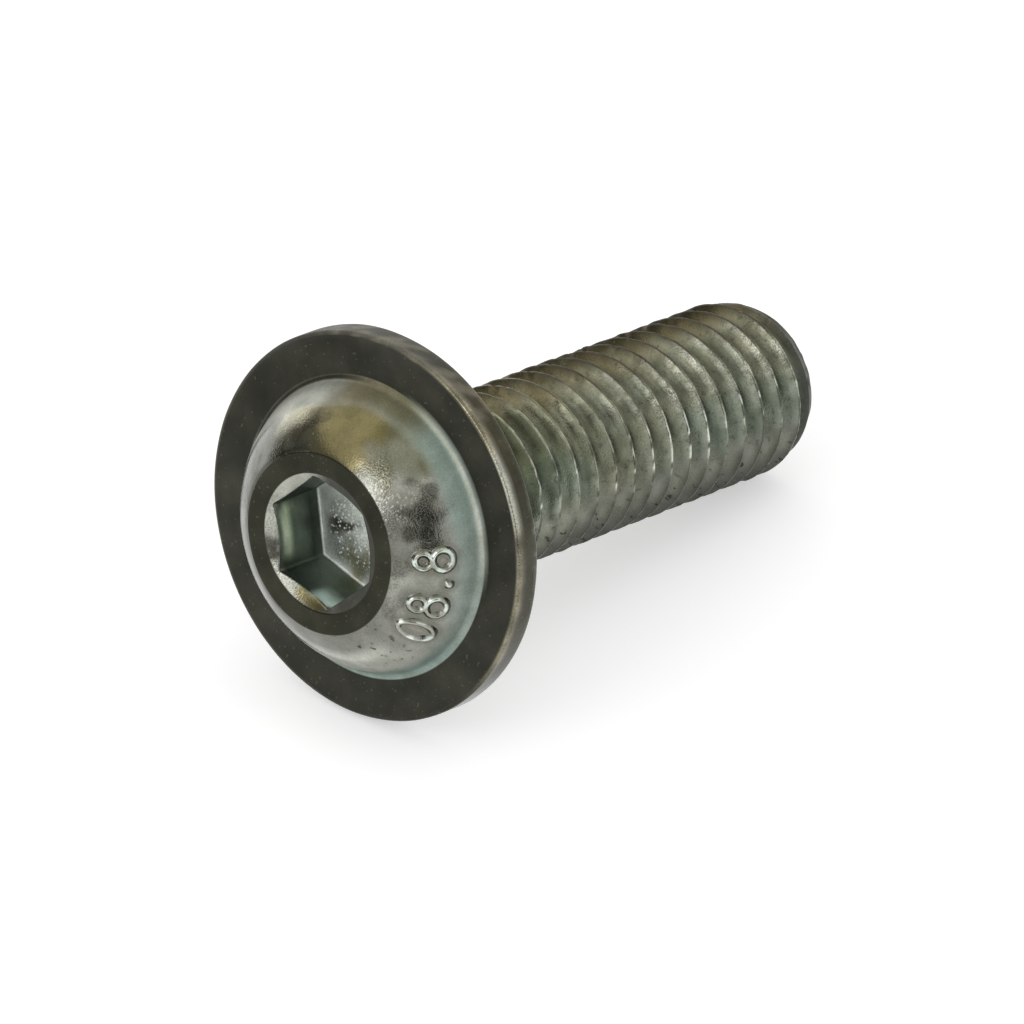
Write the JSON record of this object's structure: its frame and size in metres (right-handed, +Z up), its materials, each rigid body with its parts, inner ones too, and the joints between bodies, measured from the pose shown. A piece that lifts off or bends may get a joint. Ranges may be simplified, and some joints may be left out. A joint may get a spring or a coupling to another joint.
{
  "type": "flanged button head screw",
  "caption": "Low domed screw head with a wide flange and a hexagon socket on a right-hand metric thread. It clamps a part against a nut or a tapped hole, and lies on its side.",
  "frame": {"origin": "centre of the screw's bounding box, on the surface that it lies on", "axes": "+X along the screw from head to tip as it lies, +Z up; the screw's own axis leans down towards the tip by 11.1 degrees in the XZ plane"},
  "size_m": [0.0298, 0.017, 0.017],
  "materials": {
    "zinc_plated_steel": "bright zinc plating over forged and rolled steel, slightly blotchy"
  },
  "bodies": {
    "root": {"screw": "zinc_plated_steel"}
  },
  "joints": []
}
